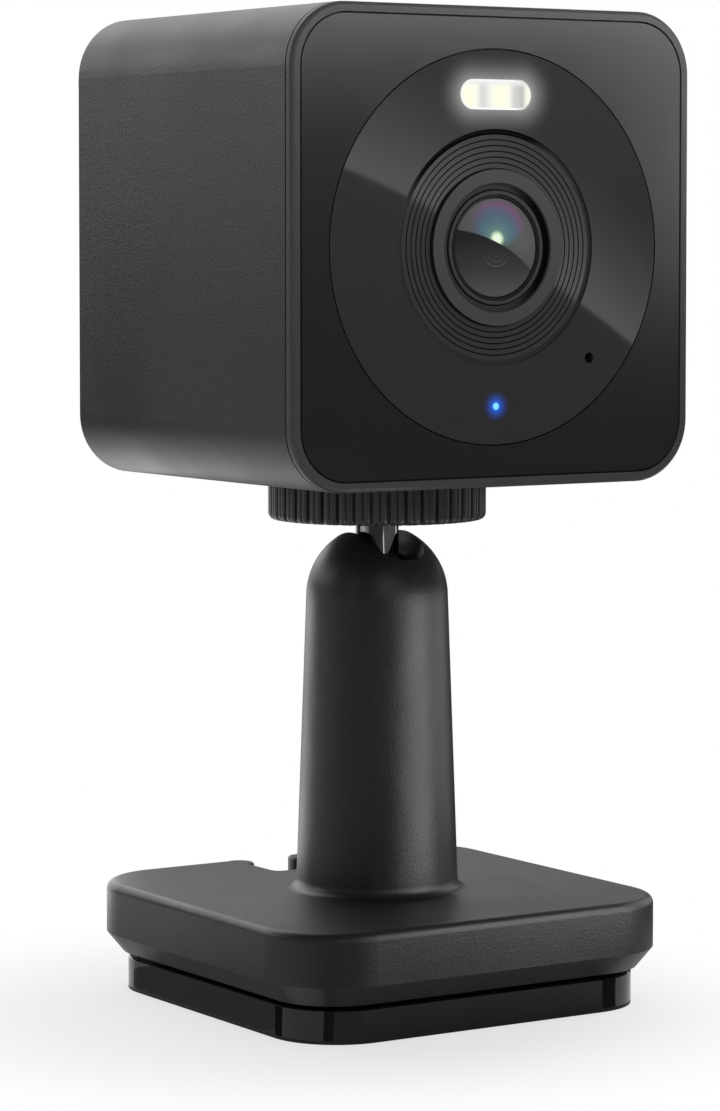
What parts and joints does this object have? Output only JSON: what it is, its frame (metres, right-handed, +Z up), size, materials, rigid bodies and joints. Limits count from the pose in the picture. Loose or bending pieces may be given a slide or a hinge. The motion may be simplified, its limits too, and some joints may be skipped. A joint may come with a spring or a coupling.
{
  "type": "security camera",
  "caption": "Cube security camera with a ringed lens, spotlight and status light, on a ball-jointed post with a lock wheel and a twist-off mounting plate.",
  "frame": {"origin": "under the foot pad, on the post's axis", "axes": "+Z up along the post, the lens looks along -Y, +X to the right seen from the front"},
  "size_m": [0.053, 0.0508, 0.1131],
  "materials": {
    "shell_black": "fine-textured black plastic",
    "rim_black": "smooth satin black plastic",
    "face_satin": "satin dark grey plastic",
    "gloss_black": "polished black plastic",
    "bezel_grey": "matte dark grey plastic",
    "wheel_black": "ribbed black plastic",
    "barrel_black": "matte black",
    "lens_glass": "coated glass",
    "lamp_white": "frosted clear plastic, lit",
    "status_blue": "clear plastic, lit blue",
    "steel": "plain steel",
    "tinplate": "tinned sheet",
    "stud_chrome": "polished plated steel",
    "insert_brass": "turned brass",
    "rubber_black": "matte rubber",
    "nylon": "natural nylon",
    "board": "green circuit board",
    "chip": "black moulded package"
  },
  "bodies": {
    "mounting_plate": {"mounting_plate": "gloss_black", "foot_pad": "rubber_black"},
    "stand": {"stand_body": "shell_black", "base_cover": "shell_black", "pressure_cup": "nylon", "disc_springs": "steel", "post_plug": "nylon"},
    "ball_liner": {"ball_liner": "nylon"},
    "ball_stud": {"ball_stud": "stud_chrome"},
    "lock_wheel": {"lock_wheel": "wheel_black", "friction_washer": "rubber_black"},
    "setup_button": {"setup_button": "shell_black", "switch_plunger": "chip"},
    "card_door": {"card_door": "shell_black"},
    "head": {"housing_shell": "shell_black", "rear_cover": "shell_black", "front_rim": "rim_black", "face_plate": "face_satin", "lens_window": "gloss_black", "lens_bezel": "bezel_grey", "lens_barrel": "barrel_black", "lens_mount": "barrel_black", "front_lens": "lens_glass", "rear_lens": "lens_glass", "ir_filter": "lens_glass", "lamp_diffuser": "lamp_white", "lamp_leds": "lamp_white", "status_light_pipe": "status_blue", "status_led": "status_blue", "door_pin": "steel", "power_inlet": "steel", "shield_can": "tinplate", "speaker": "tinplate", "antenna": "tinplate", "tripod_insert": "insert_brass", "rear_gasket": "rubber_black", "mic_gasket": "rubber_black", "speaker_gasket": "rubber_black", "sensor_board": "board", "front_board": "board", "main_board": "board", "sensor_ribbon": "board", "image_sensor": "chip", "microphone": "chip", "processor": "chip", "ribbon_sockets": "chip", "card_socket": "chip", "switch_case": "chip"}
  },
  "joints": [
    {"name": "stand_twist", "type": "hinge", "parent": "mounting_plate", "child": "stand", "pos_m": [0, 0, 0.0044], "axis": [0, 0, 1], "range_deg": [0, 40]},
    {"name": "ball_lean", "type": "hinge", "parent": "stand", "child": "ball_liner", "pos_m": [0, 0, 0.0465], "axis": [0, 1, 0], "range_deg": [-5, 5]},
    {"name": "head_tilt", "type": "hinge", "parent": "ball_liner", "child": "ball_stud", "pos_m": [0, 0, 0.0465], "axis": [1, 0, 0], "range_deg": [-34, 34]},
    {"name": "head_pan", "type": "hinge", "parent": "ball_stud", "child": "head", "pos_m": [0, 0, 0.0635], "axis": [0, 0, 1], "continuous": true},
    {"name": "wheel_turn", "type": "hinge", "parent": "ball_stud", "child": "lock_wheel", "pos_m": [0, 0, 0.0575], "axis": [0, 0, 1], "range_deg": [-180, 0]},
    {"name": "button_press", "type": "slide", "parent": "head", "child": "setup_button", "axis": [0, -1, 0], "range_m": [0, 0.0005], "stiffness_N_per_m": 2000},
    {"name": "door_hinge", "type": "hinge", "parent": "head", "child": "card_door", "pos_m": [0.0158, 0.02225, 0.0757], "axis": [0, 0, -1], "range_deg": [0, 95]}
  ]
}
